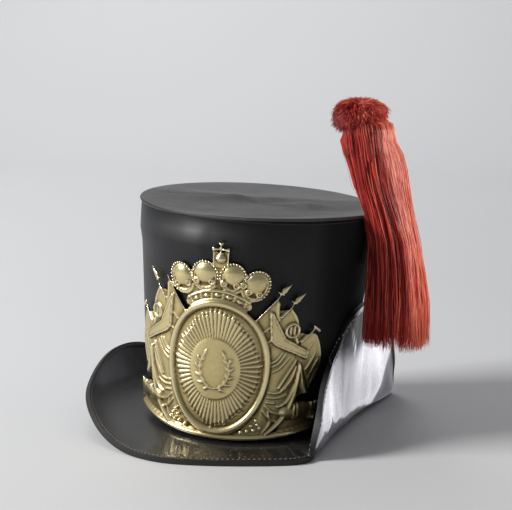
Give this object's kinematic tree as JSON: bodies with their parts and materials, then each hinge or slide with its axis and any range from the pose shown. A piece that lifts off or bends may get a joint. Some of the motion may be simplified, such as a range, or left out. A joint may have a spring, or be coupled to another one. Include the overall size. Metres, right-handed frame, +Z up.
{
  "type": "military hat",
  "caption": "Tall black leather military hat with a stamped brass front plate, a brim curled up on one side and folded up on the other, and a hanging red hair plume.",
  "frame": {"origin": "On the floor under the middle of the hat's box, where the hat stands on its brim.", "axes": "+Z up, +X towards the wearer's left, where the brim is folded up and the plume hangs, -Y towards the front with its brass plate."},
  "size_m": [0.2922, 0.2946, 0.2725],
  "materials": {
    "black_leather": "polished",
    "grey_leather": "satin",
    "dark_leather": "worn",
    "brass": "aged",
    "red_hair": "dyed hair",
    "iron": "dull"
  },
  "bodies": {
    "root": {"crown_wall": "black_leather", "crown_tip": "grey_leather", "front_plate": "brass", "brim": "black_leather", "brim_binding": "dark_leather", "plume_stem": "iron", "plume_head": "red_hair", "plume_hair": "red_hair"}
  },
  "joints": []
}
